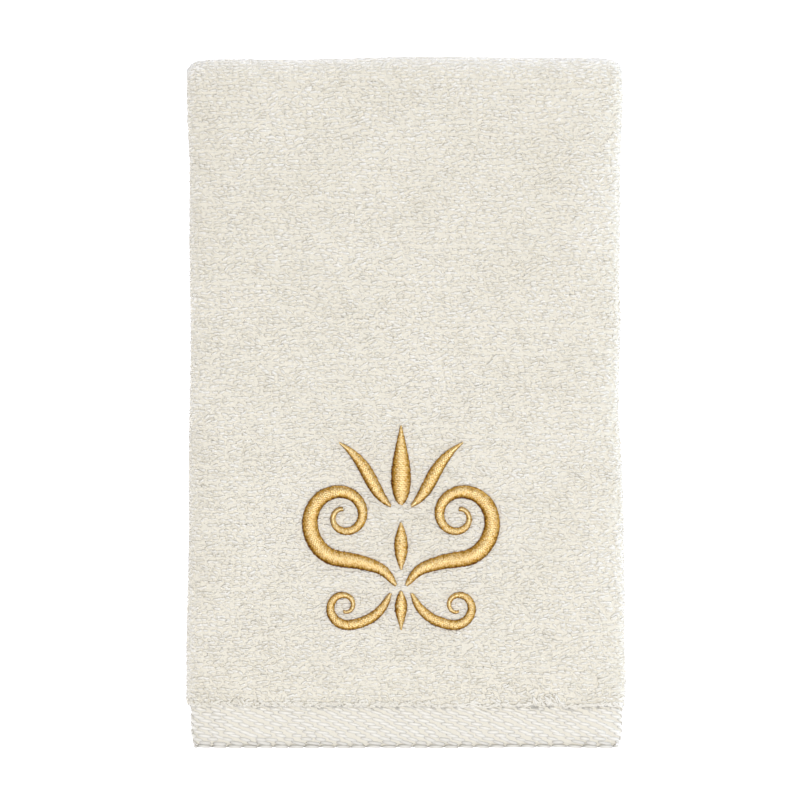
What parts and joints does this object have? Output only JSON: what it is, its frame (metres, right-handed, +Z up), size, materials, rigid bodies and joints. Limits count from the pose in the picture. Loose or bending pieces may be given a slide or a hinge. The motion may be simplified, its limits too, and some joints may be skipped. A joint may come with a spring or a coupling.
{
  "type": "folded fingertip towel",
  "caption": "Small terry hand towel folded into a flat four-layer panel, with a flat-woven hem end and a raised satin-stitch scroll ornament.",
  "frame": {"origin": "on the surface that the towel lies on, under the middle of the folded panel", "axes": "+Z up through the layers, out of the stitched face; +Y along the panel from the hems to the fold; +X across it to the right"},
  "size_m": [0.1422, 0.2248, 0.0176],
  "materials": {
    "terry": "ivory cotton terry with uncut loops, flat-woven hem",
    "thread": "gold rayon embroidery thread in satin stitch, silky"
  },
  "bodies": {
    "root": {"towel": "terry", "stitched_bud": "thread", "stitched_bead": "thread", "stitched_drop": "thread", "stitched_scroll_left": "thread", "stitched_scroll_right": "thread", "stitched_leaf_left": "thread", "stitched_leaf_right": "thread", "stitched_curl_left": "thread", "stitched_curl_right": "thread"}
  },
  "joints": []
}
